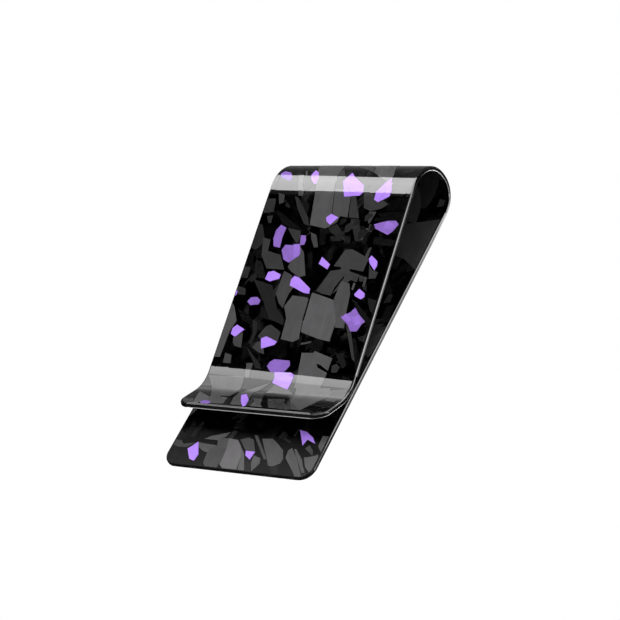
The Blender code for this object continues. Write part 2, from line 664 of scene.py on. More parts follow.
def small_chips(tree, turn, size, share, tone):
    """Little rectangular chips that all lie one way: a grey value where there is one, else 0."""
    vector = mapped_uv(tree, "strip", turn, (1 / size[0], 1 / size[1]))
    cells = add_node(tree, "TexVoronoi", distance="CHEBYCHEV")
    cells.inputs["Scale"].default_value = 1.0
    tree.links.new(vector, cells.inputs["Vector"])
    inside = math_node(tree, "LESS_THAN", cells.outputs["Distance"], 0.42)
    parts = add_node(tree, "SeparateColor")
    tree.links.new(cells.outputs["Color"], parts.inputs[0])
    chosen = math_node(tree, "LESS_THAN", parts.outputs[0], share)
    strength = math_node(tree, "POWER", parts.outputs[1], 1.6)
    streak = noise(tree, mapped_uv(tree, "strip", turn, (0.2, 5.0)), 1.0, 2.0)
    strength = product(tree, strength, ramp(tree, streak, 0.2, 0.8, 0.75, 1.1))
    shown = product(tree, inside, chosen)
    return product(tree, product(tree, strength, tone), shown)


def ground_material():
    """Black resin with small dark chips and soft smoky patches under the surface."""
    material, tree, shader = new_material("forged_carbon_ground")
    flat = mapped_uv(tree, "strip", 0, (1.0, 1.0))
    smoke = ramp(tree, noise(tree, flat, 0.45, 4.0, 0.6, 0.8), 0.5, 0.8, 0.0005, 0.010)
    total = smoke
    for turn, size, share, tone in (
        (20, (3.1, 1.4), 0.25, 0.020),
        (62, (4.6, 1.3), 0.40, 0.030),
        (100, (3.4, 1.0), 0.30, 0.024),
    ):
        chips = small_chips(tree, turn, size, share, tone)
        total = math_node(tree, "MAXIMUM", total, chips)
    veil = ramp(tree, noise(tree, flat, 0.22, 2.0), 0.42, 0.62, 0.05, 1.0)
    total = product(tree, total, veil)
    tree.links.new(tint(tree, total, RESIN_TINT), shader.inputs["Base Color"])
    gloss_coat(shader)
    return material


def rim_material():
    """The cut edge: layers of carbon seen end on, sealed with resin."""
    material, tree, shader = new_material("sealed_edge")
    layers = noise(tree, mapped_uv(tree, "strip", 0, (0.3, 0.3)), 1.0, 3.0)
    value = ramp(tree, layers, 0.3, 0.7, 0.004, 0.012)
    tree.links.new(tint(tree, value, RESIN_TINT), shader.inputs["Base Color"])
    gloss_coat(shader)
    return material


def tone_of(tree):
    """How bright this slab is."""
    return add_node(tree, "Attribute", attribute_name="tone").outputs["Fac"]


def chip_material():
    """Chopped carbon tow: grey fibres all running along the chip, with a few dark splits."""
    material, tree, shader = new_material("carbon_chip")
    fibres = noise(tree, mapped_uv(tree, "grain", 0, (0.25, 9.0)), 1.0, 3.0, 0.6)
    value = product(tree, tone_of(tree), ramp(tree, fibres, 0.2, 0.8, 0.93, 1.07))
    cloud = noise(tree, mapped_uv(tree, "grain", 0, (0.35, 0.6)), 1.0, 2.0)
    value = product(tree, value, ramp(tree, cloud, 0.3, 0.7, 0.92, 1.07))
    splits = noise(tree, mapped_uv(tree, "grain", 0, (0.12, 3.2)), 1.0, 1.0, 0.4)
    gap = math_node(tree, "ABSOLUTE", math_node(tree, "SUBTRACT", splits, 0.5))
    value = product(tree, value, ramp(tree, gap, 0.0, 0.010, 0.86, 1.0))
    tree.links.new(tint(tree, value, TOW_TINT), shader.inputs["Base Color"])
    gloss_coat(shader)
    return material


def flake_material():
    """Violet foil flakes, a little uneven, some of them sunk in the resin."""
    material, tree, shader = new_material("violet_flake")
    uneven = noise(tree, mapped_uv(tree, "grain", 0, (0.5, 1.4)), 1.0, 2.0)
    value = product(tree, tone_of(tree), ramp(tree, uneven, 0.3, 0.7, 0.93, 1.05))
    tree.links.new(tint(tree, value, VIOLET), shader.inputs["Base Color"])
    gloss_coat(shader, FLAKE_COAT)
    return material


# The inlay's layout


CHIPS = Layer("chips", "forged_carbon")
FLAKES = Layer("flakes", "purple_flake")

# How bright a flake is on the surface, sunk in the resin, and where it overlaps a sunken one.
BRIGHT = 1.0
DULL = 0.56
PALE = 0.68

# The grey level of a dark gap between chips.
CRACK = 8


def grey(level):
    """A display grey from 0 to 255 as a reflectance."""
    return (level / 255) ** 2.2


def tow(turn, level, *outline, side=OUTER):
    """One chip of tow: the way its fibres run, its grey level and its outline."""
    lay(CHIPS, side, outline, turn, grey(level))


def inner_tow(turn, level, *outline):
    """A chip of tow on the inner face."""
    tow(turn, level, *outline, side=INNER)


def chip(rng, side, x, along, long, wide, turn, level, strands=1):
    """One chip of tow: strands side by side, each with its own slanted ends."""
    shares = [rng.uniform(0.6, 1.4) for _ in range(strands)]
    total = sum(shares)
    low = -wide / 2
    slant = rng.uniform(-0.45, 0.45)
    for share in shares:
        high = low + wide * share / total
        head = long / 2 * rng.uniform(0.84, 1.1)
        tail = -long / 2 * rng.uniform(0.84, 1.1)
        gap = 0.03 * (strands > 1)
        flare = rng.uniform(-0.08, 0.08) * (high - low)
        lean = slant * (high - low)
        points = [(tail - lean, low + gap), (head - lean, low + gap + flare)]
        points += [(head + lean, high - gap + flare), (tail + lean, high - gap)]
        if rng.random() < 0.5:
            points.insert(2, (head + rng.uniform(0.05, 0.3) * (high - low), (low + high) / 2))
        tone = grey(level * rng.uniform(0.94, 1.05))
        own_turn = turn + rng.uniform(-1.5, 1.5)
        lay(CHIPS, side, turned(points, x, along, own_turn), own_turn, tone)
        low = high


def flake(side, x, along, long, wide, turn, shape, tone=BRIGHT):
    """One flake: its middle, its size along and across its own axis, and its outline."""
    points = [(u * long, v * wide) for u, v in shape]
    lay(FLAKES, side, turned(points, x, along, turn), turn, tone)


def scatter_chips(rng, side, start, end, count, levels):
    """Small random chips that fill a stretch of face under the larger ones."""
    for _ in range(count):
        long = rng.uniform(1.5, 5.0)
        wide = long * rng.uniform(0.15, 0.5)
        x = rng.uniform(-WIDTH / 2, WIDTH / 2)
        along = rng.uniform(start, end)
        chip(rng, side, x, along, long, wide, rng.gauss(70, 32), rng.choice(levels))


def large_chips(rng, side, start, end, count):
    """Large random chips for the faces that have no layout of their own."""
    for _ in range(count):
        long = rng.uniform(4.0, 9.0)
        wide = rng.uniform(1.4, 3.4)
        x = rng.uniform(-WIDTH / 2, WIDTH / 2)
        along = rng.uniform(start, end)
        level = rng.choice((48, 62, 76, 90, 98))
        chip(rng, side, x, along, long, wide, rng.gauss(85, 38), level, rng.choice((1, 1, 2, 2, 3)))


# Flake outlines: points along and across a flake's own axis, from -0.5 to 0.5.
CURVED_BAR = (
    (-0.5, 0.1), (-0.43, -0.46), (0.03, -0.5), (0.26, -0.2), (0.5, 0.3), (0.4, 0.5), (-0.27, 0.5),
)
LEAF = ((-0.5, 0.0), (-0.2, -0.46), (0.2, -0.5), (0.5, -0.15), (0.4, 0.15), (0.1, 0.5), (-0.2, 0.5))
BLOCK = ((-0.5, -0.5), (-0.24, -0.44), (0.3, -0.5), (0.5, -0.27), (0.5, -0.05), (0.1, 0.5), (-0.4, 0.07))
DROP = ((-0.5, 0.4), (-0.16, -0.33), (0.06, -0.5), (0.48, -0.15), (0.5, 0.22), (0.26, 0.5), (-0.3, 0.5))
FIVE_SIDED = ((-0.23, 0.42), (-0.5, -0.5), (0.45, -0.5), (0.5, 0.13), (0.3, 0.5))
TORN = (
    (-0.5, 0.3), (-0.29, 0.02), (0.0, -0.3), (0.3, -0.5), (0.5, -0.38), (0.47, 0.16), (0.36, 0.5),
    (-0.32, 0.5),
)
NOTCHED_BAR = (
    (-0.5, 0.15), (-0.38, -0.5), (0.02, -0.4), (0.5, -0.5), (0.45, 0.2), (0.1, 0.5), (-0.26, 0.5),
)
STUB = ((-0.5, 0.5), (-0.4, -0.33), (0.08, -0.5), (0.5, -0.3), (0.48, 0.4), (-0.13, 0.5))
SHIELD = (
    (-0.5, 0.24), (-0.12, -0.5), (0.32, -0.47), (0.41, -0.35), (0.5, 0.26), (0.22, 0.5), (-0.33, 0.5),
)
BRICK = ((-0.5, -0.5), (0.4, -0.3), (0.5, 0.43), (-0.35, 0.5))
KITE = ((-0.5, -0.27), (0.1, -0.5), (0.34, -0.15), (0.5, 0.48), (-0.15, 0.5), (-0.44, 0.26))
PEBBLE = ((-0.5, -0.17), (-0.18, -0.5), (0.44, -0.46), (0.5, -0.09), (0.0, 0.5), (-0.4, 0.5))
SHARD = ((-0.5, 0.0), (-0.47, -0.43), (-0.26, -0.5), (0.4, -0.13), (0.5, 0.3), (0.3, 0.45), (-0.4, 0.5))
GEM = ((-0.5, -0.5), (0.28, -0.5), (0.5, -0.16), (0.4, 0.32), (-0.3, 0.5), (-0.5, 0.4))
OVAL = ((0.27, 0.5), (-0.2, 0.5), (-0.5, 0.0), (-0.42, -0.46), (0.2, -0.5), (0.5, 0.0))
PINWHEEL = (
    (-0.39, -0.5), (-0.05, -0.46), (0.4, -0.5), (0.39, -0.25), (0.5, 0.2),
    (0.31, 0.5), (0.0, 0.4), (-0.23, 0.45), (-0.5, 0.48), (-0.38, -0.1),
)
DART = ((-0.2, 0.5), (-0.5, -0.5), (0.36, -0.5), (0.5, 0.08), (0.2, 0.5))
SAIL = ((0.16, 0.5), (-0.5, -0.28), (-0.34, -0.5), (0.5, -0.5), (0.5, 0.44))
CLOUD = (
    (-0.27, -0.5), (0.43, -0.47), (0.5, -0.1), (0.32, 0.47), (-0.26, 0.5), (-0.5, 0.08), (-0.43, -0.28),
)
TRAPEZE = ((-0.5, -0.47), (0.33, -0.5), (0.5, -0.4), (0.5, 0.5), (-0.42, 0.12), (-0.4, -0.14))
COFFIN = ((-0.5, 0.45), (-0.5, -0.27), (0.0, -0.5), (0.5, -0.06), (0.5, 0.3), (0.06, 0.5))
SEED_SHAPE = ((0.5, -0.5), (-0.22, -0.5), (-0.5, -0.1), (-0.3, 0.32), (0.3, 0.5))
WEDGE = ((-0.5, 0.5), (0.5, 0.5), (0.36, -0.5), (-0.28, -0.07))
ARROW = ((0.5, 0.5), (0.27, 0.0), (-0.15, -0.42), (-0.5, -0.5), (-0.14, 0.05), (-0.35, 0.5))
ALL_SHAPES = (LEAF, BLOCK, DROP, FIVE_SIDED, NOTCHED_BAR, STUB, KITE, SHARD, GEM, DART, SAIL, COFFIN)


def lay_bow_flakes():
    """The flakes on the bow's top."""
    flake(OUTER, -10.3, 64.6, 2.9, 1.4, 18, CURVED_BAR, DULL)
    flake(OUTER, -5.2, 64.8, 3.4, 1.2, 65, LEAF)
    flake(OUTER, 1.9, 66.7, 4.8, 3.2, 38, BLOCK)
    flake(OUTER, 8.1, 67.3, 4.0, 2.4, 123, DROP)


def lay_front_flakes():
    """The flakes of the front leg, from the bow down to the lip."""
    flake(OUTER, 0.3, 71.9, 1.7, 1.6, 130, FIVE_SIDED)
    flake(OUTER, 9.9, 72.8, 3.7, 2.4, 22, TORN, DULL)
    flake(OUTER, 10.5, 73.0, 1.6, 1.2, 22, GEM, PALE)
    flake(OUTER, -7.9, 75.1, 3.8, 1.7, 90, NOTCHED_BAR, DULL)
    flake(OUTER, -3.4, 75.6, 1.7, 1.0, 80, STUB, DULL)
    flake(OUTER, -4.8, 77.6, 3.3, 2.9, 60, SHIELD, DULL)
    flake(OUTER, -3.9, 77.3, 2.3, 1.2, 75, STUB, PALE)
    flake(OUTER, 1.6, 79.3, 2.3, 1.1, 28, BRICK)
    flake(OUTER, 9.8, 78.9, 2.5, 1.1, 45, KITE)
    flake(OUTER, -6.6, 81.8, 2.5, 1.7, 20, PEBBLE)
    flake(OUTER, -1.2, 83.0, 4.4, 1.7, 22, SHARD)
    flake(OUTER, 9.2, 84.1, 1.7, 1.2, 32, GEM)
    flake(OUTER, -8.5, 85.9, 2.3, 1.3, 175, OVAL, DULL)
    flake(OUTER, -12.6, 84.5, 1.6, 1.0, 60, GEM)
    flake(OUTER, 9.4, 88.1, 3.9, 2.5, 42, PINWHEEL, DULL)
    flake(OUTER, 8.3, 87.9, 1.6, 0.9, 30, GEM, PALE)
    flake(OUTER, 10.0, 88.0, 1.7, 1.3, 60, STUB, PALE)
    flake(OUTER, -9.8, 90.7, 2.1, 1.6, 135, DART)
    flake(OUTER, -3.6, 92.1, 2.6, 1.8, 160, SAIL)
    flake(OUTER, -0.6, 95.9, 3.8, 2.0, 0, CLOUD, DULL)


def lay_lip_flakes():
    """The flakes of the lip."""
    flake(OUTER, 0.8, 98.3, 3.4, 3.1, 0, TRAPEZE)
    flake(OUTER, -2.0, 104.1, 4.6, 1.1, 55, COFFIN)
    flake(OUTER, -7.6, 105.9, 1.8, 1.3, 12, OVAL, DULL)


def lay_back_flakes():
    """The flakes on the end of the back leg's inner face."""
    flake(INNER, -8.2, 2.4, 3.4, 1.7, 118, SEED_SHAPE)
    flake(INNER, 1.1, 2.9, 1.6, 1.4, 0, WEDGE)
    flake(INNER, 8.9, 7.0, 3.6, 1.8, 123, ARROW)


def scatter_flakes(rng, side, start, end, right, count):
    """Random flakes between the strip's left border and the line x = right, spread evenly."""
    width = right + WIDTH / 2
    rows = math.ceil(math.sqrt(count * (end - start) / width))
    columns = math.ceil(count / rows)
    for index in range(rows * columns):
        row, column = divmod(index, columns)
        along = start + (end - start) * (row + rng.uniform(0.15, 0.85)) / rows
        x = width * (column + rng.uniform(0.15, 0.85)) / columns - WIDTH / 2
        long = rng.uniform(1.6, 4.4)
        wide = long * rng.uniform(0.4, 0.75)
        tone = rng.choice((BRIGHT, BRIGHT, DULL))
        flake(side, x, along, long, wide, rng.uniform(0, 180), rng.choice(ALL_SHAPES), tone)


def lay_bow_chips():
    """The chips that stand out on the bow's top."""
    tow(78, 60, (-2.2, 62.6), (-1.0, 63.0), (0.2, 64.8), (-0.8, 65.2))
    tow(35, 66, (0.2, 60.4), (2.2, 60.6), (4.9, 63.9), (3.0, 63.0), (0.8, 62.0))
    tow(70, 88, (2.8, 58.5), (6.2, 58.5), (8.3, 64.4), (8.4, 66.0), (6.0, 64.7), (4.6, 63.8))
    tow(
        78, 86,
        (-7.0, 59.5), (-2.2, 59.5), (-0.8, 67.0), (0.5, 73.2), (-0.3, 73.6), (-3.1, 73.1), (-4.1, 67.0),
    )
    tow(76, 80, (-0.7, 67.0), (2.2, 67.0), (3.0, 71.7), (1.7, 71.5), (1.4, 72.6), (0.6, 73.1))
    tow(68, 60, (2.4, 67.5), (3.4, 68.3), (5.0, 71.8), (3.2, 71.7))
    tow(62, 48, (3.6, 71.9), (5.0, 71.9), (6.7, 75.4), (5.6, 75.6))
    tow(25, 62, (4.4, 67.2), (5.3, 67.4), (9.3, 69.4), (8.2, 70.2), (6.6, 70.6), (5.3, 70.1))
    tow(100, 72, (6.4, 70.7), (7.6, 70.7), (7.1, 72.6), (6.8, 72.6))
    tow(66, 75, (-8.2, 64.5), (-7.3, 64.5), (-6.0, 68.2), (-6.8, 68.2))
    tow(60, 80, (-7.6, 63.4), (-7.2, 63.6), (-6.8, 64.5), (-7.1, 64.5))


def lay_dark_chips():
    """Chips that lie deep in the resin, under all the others."""
    tow(10, 22, (7.8, 70.9), (12.5, 70.4), (12.5, 72.0), (9.2, 72.1))
    tow(20, 19, (8.2, 69.2), (12.5, 68.0), (12.5, 70.0), (9.4, 70.6))
    tow(5, 28, (8.5, 74.8), (12.3, 75.2), (12.0, 76.2), (8.8, 76.0))
    tow(45, 26, (-9.9, 70.9), (-9.0, 71.0), (-4.0, 74.0), (-4.6, 74.4), (-8.0, 73.0))
    tow(60, 30, (-6.2, 68.9), (-4.4, 69.4), (-4.1, 71.2), (-5.2, 71.1))
    tow(40, 27, (4.9, 72.9), (6.6, 73.2), (7.7, 75.5), (6.2, 75.8))
    tow(20, 40, (1.1, 74.8), (2.7, 74.9), (3.2, 75.6), (1.4, 75.7))
    tow(60, 36, (3.4, 74.6), (4.6, 75.0), (4.9, 76.1), (3.7, 75.8))
    tow(8, 17, (-0.2, 75.4), (3.4, 75.8), (8.2, 76.3), (4.5, 76.8))
    tow(70, 21, (-12.5, 77.8), (-11.6, 77.9), (-10.0, 81.2), (-12.5, 80.2))
    tow(55, 34, (-10.6, 79.0), (-9.4, 79.4), (-7.7, 82.1), (-9.0, 82.2), (-10.3, 81.0))
    tow(15, 30, (-7.0, 86.6), (-3.6, 86.9), (-2.3, 88.3), (-4.4, 88.9), (-6.6, 88.4))
    tow(40, 29, (8.0, 84.9), (8.7, 85.0), (12.5, 88.2), (12.4, 89.0))
    tow(30, 38, (10.6, 84.5), (12.5, 84.9), (12.5, 87.1), (11.6, 86.5))
    tow(60, 34, (8.0, 93.2), (9.4, 93.4), (10.6, 95.2), (9.9, 95.5))
    tow(60, 26, (9.8, 90.9), (11.0, 91.6), (12.5, 94.6), (12.4, 96.0))
    tow(20, 22, (6.3, 92.3), (7.9, 92.7), (8.2, 93.6), (6.7, 93.3))
    tow(12, 24, (-11.0, 87.2), (-9.0, 87.9), (-6.2, 90.0), (-9.4, 89.2))
    tow(8, 14, (-10.0, 96.2), (-6.5, 95.2), (-4.5, 96.5), (-8.5, 97.0))


def lay_upper_chips():
    """The chips of the front leg's upper third."""
    tow(70, 66, (-10.5, 67.8), (-9.3, 68.1), (-9.1, 69.4), (-9.8, 69.7))
    tow(88, 54, (-12.5, 68.8), (-10.7, 68.7), (-10.3, 71.0), (-12.5, 71.3))
    tow(60, 55, (-11.2, 71.8), (-10.2, 71.6), (-10.1, 72.9), (-10.6, 72.9))
    tow(50, 52, (-7.4, 68.3), (-6.7, 68.5), (-3.8, 71.9), (-3.2, 73.3), (-4.2, 72.9), (-6.3, 70.3))
    tow(45, 46, (0.3, 73.5), (1.6, 72.8), (2.9, 74.2), (3.9, 75.6), (2.2, 75.0), (0.9, 74.2))
    tow(30, 56, (3.7, 72.2), (4.9, 72.4), (5.2, 73.4), (4.2, 73.4))
    tow(100, 80, (6.8, 73.4), (7.1, 73.4), (6.7, 75.4), (6.4, 75.2))
    tow(60, 60, (7.1, 72.8), (7.5, 72.8), (7.9, 74.0), (7.2, 73.9))
    tow(60, 46, (-12.5, 73.0), (-11.5, 73.2), (-10.2, 75.9), (-11.2, 77.5), (-12.5, 77.0))
    tow(30, 58, (-6.8, 73.7), (-4.4, 74.1), (-4.0, 75.2), (-4.4, 76.2), (-5.6, 75.0))
    tow(58, 70, (-2.5, 74.3), (-1.4, 74.7), (-0.4, 76.7), (-1.1, 76.8), (-2.0, 75.5))


def lay_middle_chips():
    """The chips of the front leg's middle, with its widest pieces of tow."""
    tow(
        55, 62,
        (-10.6, 75.4), (-9.2, 75.7), (-9.0, 77.6), (-6.5, 78.2), (-5.0, 80.6), (-8.2, 80.5),
        (-9.9, 78.3),
    )
    tow(64, 77, (-3.6, 76.6), (-2.6, 77.6), (-1.0, 81.4), (-2.1, 81.7), (-4.5, 80.4), (-4.4, 79.3))
    tow(
        82, 72,
        (-4.9, 80.8), (-3.4, 81.4), (-2.4, 83.3), (-2.9, 84.7), (-3.1, 86.8), (-4.1, 86.0), (-5.1, 84.4),
    )
    tow(15, 67, (4.4, 77.0), (5.6, 76.9), (8.8, 78.3), (8.5, 80.4), (5.0, 79.9), (3.3, 79.7))
    tow(70, 66, (8.0, 78.3), (8.3, 76.6), (8.7, 76.5), (8.6, 78.3))
    tow(
        105, 65,
        (3.0, 80.5), (5.2, 80.1), (8.2, 81.0), (7.9, 81.8), (6.9, 81.8), (4.3, 84.4), (2.8, 84.2),
        (1.7, 83.8),
    )
    tow(84, 81, (5.4, 82.0), (6.9, 82.4), (7.5, 84.0), (8.0, 88.0), (8.3, 89.4), (6.8, 89.4), (5.1, 84.9))
    tow(70, 66, (4.7, 79.6), (6.2, 79.8), (6.3, 80.9), (4.6, 80.7))
    tow(60, 60, (7.1, 81.1), (8.1, 81.2), (7.9, 82.1), (7.2, 81.9))
    tow(90, 84, (7.5, 82.2), (7.9, 82.4), (7.8, 83.4), (7.5, 83.3))
    tow(88, 60, (8.1, 81.0), (9.0, 81.2), (8.9, 82.0), (8.4, 82.0))
    tow(88, 72, (9.0, 81.2), (9.5, 81.3), (9.5, 82.8), (9.2, 82.8))
    tow(55, 62, (9.2, 79.3), (9.9, 80.1), (11.0, 80.4), (10.9, 81.4), (9.8, 81.5))
    tow(
        45, 42,
        (-9.9, 82.3), (-6.2, 83.2), (-4.0, 87.0), (-2.2, 88.6), (-2.1, 89.5), (-4.8, 88.6), (-7.4, 85.2),
    )
    tow(88, 53, (-12.5, 83.4), (-10.7, 84.0), (-10.4, 85.0), (-12.0, 84.9))
    tow(88, 50, (-12.3, 80.3), (-11.1, 80.4), (-11.0, 82.2), (-12.2, 82.2))
    tow(
        92, 84,
        (-2.1, 84.7), (0.5, 84.9), (0.85, 85.2), (1.15, 90.3), (1.4, 91.5), (0.5, 92.0), (-1.7, 91.7),
        (-1.9, 88.4), (-2.9, 86.5),
    )
    tow(
        90, 93,
        (1.1, 84.1), (2.4, 84.4), (5.1, 85.1), (6.6, 88.4), (6.6, 91.6), (4.6, 91.3), (1.3, 90.4),
        (1.15, 88.5),
    )
    tow(84, CRACK, (0.85, 85.2), (1.1, 85.1), (1.2, 88.6), (0.95, 88.6))
    tow(110, CRACK, (5.5, 81.3), (5.7, 81.5), (5.0, 83.0), (4.4, 84.5), (4.6, 83.2))
    tow(60, CRACK, (1.2, 90.3), (1.6, 90.5), (1.45, 91.4))
    tow(30, CRACK, (-4.8, 80.1), (-4.5, 80.2), (-3.1, 81.3), (-3.5, 81.4))
    for x, along, size, level in (
        (2.8, 74.6, 1.2, 42),
        (3.9, 73.4, 1.5, 48),
        (4.9, 72.6, 1.0, 40),
        (2.5, 72.4, 1.1, 34),
        (6.5, 74.4, 1.6, 38),
        (6.6, 71.6, 1.3, 46),
        (7.9, 73.3, 1.1, 30),
    ):
        lay(CHIPS, OUTER, [(x + u * size, along + v * size) for u, v in PEBBLE], 40, grey(level))


def lay_lower_chips():
    """The chips of the front leg's lower third."""
    tow(10, 72, (1.9, 92.1), (3.6, 91.7), (3.5, 92.0), (2.0, 92.4))
    tow(62, 60, (8.3, 88.6), (9.3, 89.2), (11.7, 94.4), (11.1, 94.0))
    tow(88, 84, (-12.6, 86.0), (-11.6, 87.0), (-10.4, 89.2), (-11.0, 91.0), (-11.2, 95.1), (-12.6, 95.2))
    tow(80, 70, (-10.0, 91.9), (-8.6, 91.0), (-8.0, 93.5), (-9.3, 93.2), (-9.8, 92.7))
    tow(15, 62, (-4.9, 89.8), (-4.2, 89.5), (-2.1, 90.6), (-2.1, 92.0), (-4.9, 92.0), (-5.8, 91.5))
    tow(30, 66, (-5.6, 92.4), (-4.6, 92.2), (-3.7, 94.2), (-5.0, 93.9), (-6.1, 93.3))
    tow(75, 45, (-7.6, 88.9), (-6.7, 89.2), (-6.2, 90.9), (-6.4, 92.8), (-7.0, 92.6), (-6.8, 91.0))
    tow(40, 45, (-7.1, 93.3), (-6.6, 93.6), (-3.9, 95.7), (-3.3, 96.6), (-4.4, 96.4))
    tow(80, 74, (-10.5, 94.4), (-9.3, 94.7), (-9.0, 96.0), (-10.3, 96.0))
    tow(86, 88, (2.6, 93.6), (4.5, 93.5), (4.7, 93.2), (7.9, 94.1), (7.6, 99.6), (3.4, 99.4), (3.0, 96.5))
    tow(25, CRACK, (5.6, 95.1), (6.2, 95.2), (7.9, 96.1), (7.9, 96.4), (6.0, 95.7))
    tow(60, 54, (8.2, 95.3), (8.9, 94.9), (9.6, 95.4), (9.3, 96.2), (8.5, 96.3))
    tow(84, 78, (-6.2, 95.8), (-5.1, 95.7), (-4.9, 98.3), (-5.6, 98.3))


def lay_lip_chips():
    """The lip's chips and the dark strip along its end."""
    tow(70, 46, (-12.5, 99.8), (-11.2, 99.6), (-8.2, 103.8), (-10.0, 105.0), (-12.5, 105.0))
    tow(
        62, 86,
        (-12.0, 98.2), (-5.8, 98.0), (-5.1, 100.5), (-5.3, 103.2), (-4.4, 106.7), (-8.0, 106.7),
        (-8.3, 103.7), (-10.2, 100.6),
    )
    tow(60, 98, (-11.1, 102.4), (-8.3, 103.9), (-7.0, 106.7), (-9.4, 106.7), (-10.2, 104.6))
    tow(75, 78, (-12.5, 105.1), (-10.3, 105.0), (-9.4, 106.7), (-12.5, 106.7))
    tow(
        60, 84,
        (-4.6, 101.6), (-2.9, 99.9), (-0.6, 98.4), (-2.4, 101.4), (-0.6, 106.7), (-2.9, 106.7),
        (-4.4, 103.5),
    )
    tow(58, 58, (-2.2, 101.2), (-0.2, 101.4), (3.2, 106.7), (-0.4, 106.7))
    tow(58, 92, (-0.6, 103.2), (1.1, 104.9), (2.4, 106.7), (0.3, 106.7))
    tow(58, 68, (0.3, 101.5), (3.6, 102.0), (6.6, 106.7), (3.4, 106.7))
    tow(60, 76, (3.9, 101.0), (8.7, 101.8), (8.3, 106.7), (6.8, 106.7), (5.3, 104.2))
    tow(75, 92, (3.8, 99.1), (9.3, 98.9), (10.3, 100.4), (9.3, 102.0), (8.2, 105.6), (5.1, 103.2))
    tow(50, 84, (9.7, 99.2), (12.4, 98.7), (12.5, 100.6), (11.6, 102.0), (10.0, 101.6))
    tow(65, 78, (0.0, 99.1), (2.4, 99.6), (4.3, 101.0), (3.5, 101.2), (0.7, 100.8), (-0.4, 100.9))
    tow(65, 64, (2.1, 103.2), (4.9, 102.9), (6.8, 105.7), (4.6, 105.8))
    tow(65, 86, (-1.2, 103.2), (0.3, 103.2), (2.4, 105.7), (1.2, 105.7))
    tow(20, 20, (-0.7, 101.3), (0.7, 100.9), (3.5, 101.2), (4.3, 102.4), (2.1, 102.8), (0.8, 103.0))
    tow(58, CRACK, (-0.3, 101.7), (0.3, 102.0), (3.3, 106.0), (3.0, 106.6), (1.2, 104.9))
    tow(60, CRACK, (3.5, 102.2), (3.8, 102.2), (5.2, 104.2), (4.8, 104.1))
    tow(140, CRACK, (-0.7, 98.2), (-0.8, 98.5), (-3.1, 100.1), (-4.5, 101.6), (-5.0, 101.8), (-3.2, 99.7))
    tow(
        80, CRACK,
        (-4.6, 101.5), (-4.7, 103.4), (-3.5, 106.7), (-4.3, 106.7), (-5.2, 103.9), (-5.1, 101.8),
    )
    tow(170, CRACK, (-6.8, 103.3), (-5.0, 103.2), (-5.0, 103.8), (-6.5, 103.7))
    # A near-black strip laid over the chips along the lip's last millimetre keeps the face near black right
    # up to its end.
    tow(
        0, 5,
        (-8.6, 106.1), (-4.0, 105.8), (3.0, 105.9), (9.0, 105.7), (12.5, 105.6), (12.5, 106.7),
        (-8.6, 106.7),
    )


def lay_back_chips():
    """The chips on the end of the back leg's inner face."""
    inner_tow(
        175, 66,
        (-12.5, 4.3), (-12.0, 3.3), (-11.2, 3.1), (-9.6, 3.2), (-8.8, 4.1), (-10.6, 3.7), (-11.3, 4.3),
    )
    inner_tow(20, 84, (-6.6, 2.8), (-5.2, 2.6), (-4.9, 4.0), (-8.2, 4.2), (-8.8, 3.9))
    inner_tow(88, 76, (-5.6, 0.9), (-4.6, -0.1), (-2.9, -0.1), (-3.0, 3.6), (-4.8, 4.0), (-5.9, 3.2))
    inner_tow(80, 80, (-4.8, 4.0), (-3.1, 3.6), (-3.0, 5.4), (-4.4, 5.4), (-5.2, 4.9))
    inner_tow(30, 86, (-7.6, 4.9), (-5.2, 4.9), (-4.1, 5.7), (-3.8, 6.5), (-4.6, 6.2), (-6.4, 5.6))
    inner_tow(98, 74, (0.3, 3.6), (1.9, 3.6), (0.6, 5.6), (-0.4, 5.9), (-1.6, 5.4))
    inner_tow(110, 96, (0.7, -0.1), (1.9, -0.1), (0.7, 2.3), (0.2, 3.2), (-0.7, 4.1), (0.1, 2.2))
    inner_tow(
        98, 106,
        (-2.8, 0.9), (-1.5, -0.1), (0.5, -0.1), (0.0, 2.6), (-0.8, 4.2), (-1.9, 5.3), (-3.5, 5.4),
        (-3.0, 3.5),
    )
    inner_tow(100, 88, (2.9, 0.3), (3.6, 1.7), (3.3, 2.6), (2.0, 3.0), (2.1, 1.9))
    inner_tow(135, 76, (0.3, 6.4), (0.9, 6.4), (4.3, 2.6), (3.9, 2.5))
    inner_tow(
        128, 84,
        (5.1, 1.5), (5.8, 1.5), (6.8, 2.1), (6.9, 2.9), (6.2, 4.3), (5.0, 5.2), (3.6, 6.1), (1.9, 5.9),
        (4.2, 2.8),
    )
    inner_tow(
        130, 86,
        (9.3, 1.1), (10.4, -0.1), (11.2, 0.2), (8.9, 3.3), (7.4, 4.9), (7.0, 4.4), (7.2, 3.1),
    )
    inner_tow(130, 86, (10.8, 1.0), (11.3, 1.0), (9.8, 3.2), (8.1, 4.8), (7.8, 4.7))
    inner_tow(120, 90, (12.2, 1.0), (12.6, 3.6), (11.9, 4.2), (11.1, 3.8), (10.0, 3.5), (10.9, 2.0))
    inner_tow(95, 88, (12.6, 4.2), (12.6, 7.4), (11.2, 7.4), (11.3, 5.6))
    inner_tow(135, 66, (11.2, 3.9), (10.9, 4.7), (9.9, 5.7), (9.5, 5.0))
    inner_tow(
        86, 88,
        (5.5, 42.0), (6.5, 47.6), (9.8, 48.2), (12.1, 48.7), (12.5, 44.0), (12.5, 38.3), (9.5, 40.5),
    )
    inner_tow(80, 76, (9.9, 31.8), (10.9, 32.0), (10.8, 33.4), (10.0, 33.6))
    inner_tow(70, 80, (10.6, 51.2), (11.6, 51.4), (11.9, 52.4), (10.9, 52.6))


